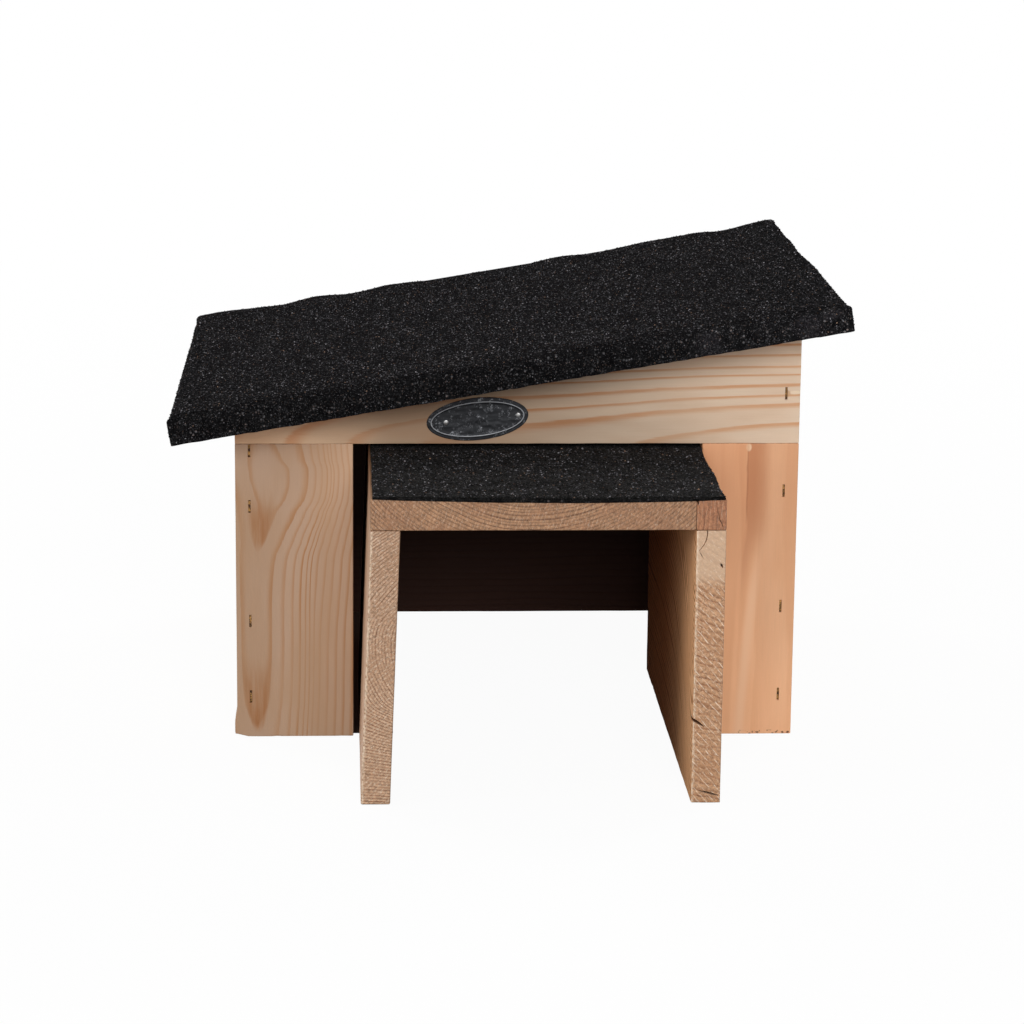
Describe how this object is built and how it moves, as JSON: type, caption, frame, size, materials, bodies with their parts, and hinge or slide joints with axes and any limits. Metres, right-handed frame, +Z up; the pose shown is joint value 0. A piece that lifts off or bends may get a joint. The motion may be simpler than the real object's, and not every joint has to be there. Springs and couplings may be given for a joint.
{
  "type": "hedgehog house",
  "caption": "Bottomless pine hedgehog house with a hinged lean-to roof in roofing felt, an oval plate on the header and a loose felt-topped entrance tunnel.",
  "frame": {"origin": "on the ground, below the middle of the whole object's box with the roof shut and the tunnel half out", "axes": "+Z up, -Y is the side with the doorway and the tunnel, +X is the side where the roof is high"},
  "size_m": [0.4242, 0.4833, 0.291],
  "materials": {
    "planed_pine": "planed, bare, satin",
    "rough_pine": "sawn, bare, matt",
    "roofing_felt": "bitumen felt with mineral granules, matt",
    "pewter_plate": "dark pewter, worn bright on the rim",
    "rusty_wire": "staple wire, rust stained",
    "galvanised_nails": "galvanised, dull",
    "zinc_steel": "zinc plated"
  },
  "bodies": {
    "house": {"left_stile": "planed_pine", "right_stile": "planed_pine", "front_header": "planed_pine", "left_side_wall": "planed_pine", "right_side_lower": "planed_pine", "right_side_upper": "planed_pine", "back_lower": "planed_pine", "back_upper": "planed_pine", "front_staples": "rusty_wire", "back_staples": "rusty_wire", "badge_plate": "pewter_plate", "badge_nails": "zinc_steel", "left_hinge_fixed_leaf": "zinc_steel", "right_hinge_fixed_leaf": "zinc_steel", "left_hinge_pin": "zinc_steel", "right_hinge_pin": "zinc_steel", "hinge_lower_screws": "zinc_steel"},
    "roof": {"roof_front_board": "rough_pine", "roof_middle_board": "rough_pine", "roof_rear_board": "rough_pine", "left_batten": "rough_pine", "right_batten": "rough_pine", "batten_nails": "zinc_steel", "roof_felt": "roofing_felt", "felt_nails": "galvanised_nails", "left_hinge_moving_leaf": "zinc_steel", "right_hinge_moving_leaf": "zinc_steel", "hinge_upper_screws": "zinc_steel"},
    "tunnel": {"tunnel_left_wall": "rough_pine", "tunnel_right_wall": "rough_pine", "tunnel_top_board": "rough_pine", "tunnel_top_strip": "rough_pine", "tunnel_felt": "roofing_felt", "tunnel_nails": "zinc_steel"}
  },
  "joints": [
    {"name": "roof_hinge", "type": "hinge", "parent": "house", "child": "roof", "pos_m": [0.00552, 0.23915, 0.23927], "axis": [-0.9857, 0, -0.1685], "range_deg": [0, 180]},
    {"name": "tunnel_slide", "type": "slide", "parent": "house", "child": "tunnel", "axis": [0, -1, 0], "range_m": [-0.1595, 0.155]}
  ]
}
